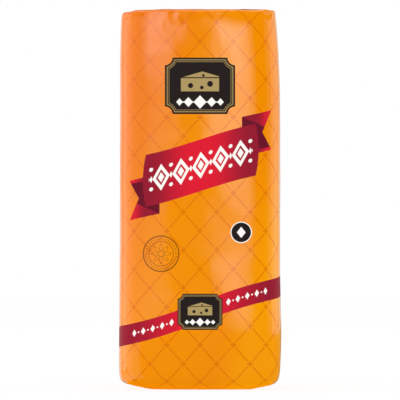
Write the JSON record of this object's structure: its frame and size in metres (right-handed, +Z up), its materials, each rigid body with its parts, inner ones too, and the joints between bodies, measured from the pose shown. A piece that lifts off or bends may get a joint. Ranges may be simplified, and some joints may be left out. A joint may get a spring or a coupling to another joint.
{
  "type": "smoked gouda",
  "caption": "Tall rectangular deli loaf of smoked gouda in tight printed film, with rounded edges, envelope-folded ends and a lapped seam down the back.",
  "frame": {"origin": "middle of the base that the loaf stands on", "axes": "+Z up along the loaf's length, -Y out of the printed front, +X to the right seen from the front"},
  "size_m": [0.1079, 0.0959, 0.252],
  "materials": {
    "printed_film": "orange printed film, satin gloss, clinging to the cheese under it"
  },
  "bodies": {
    "root": {"wrapped_loaf": "printed_film"}
  },
  "joints": []
}
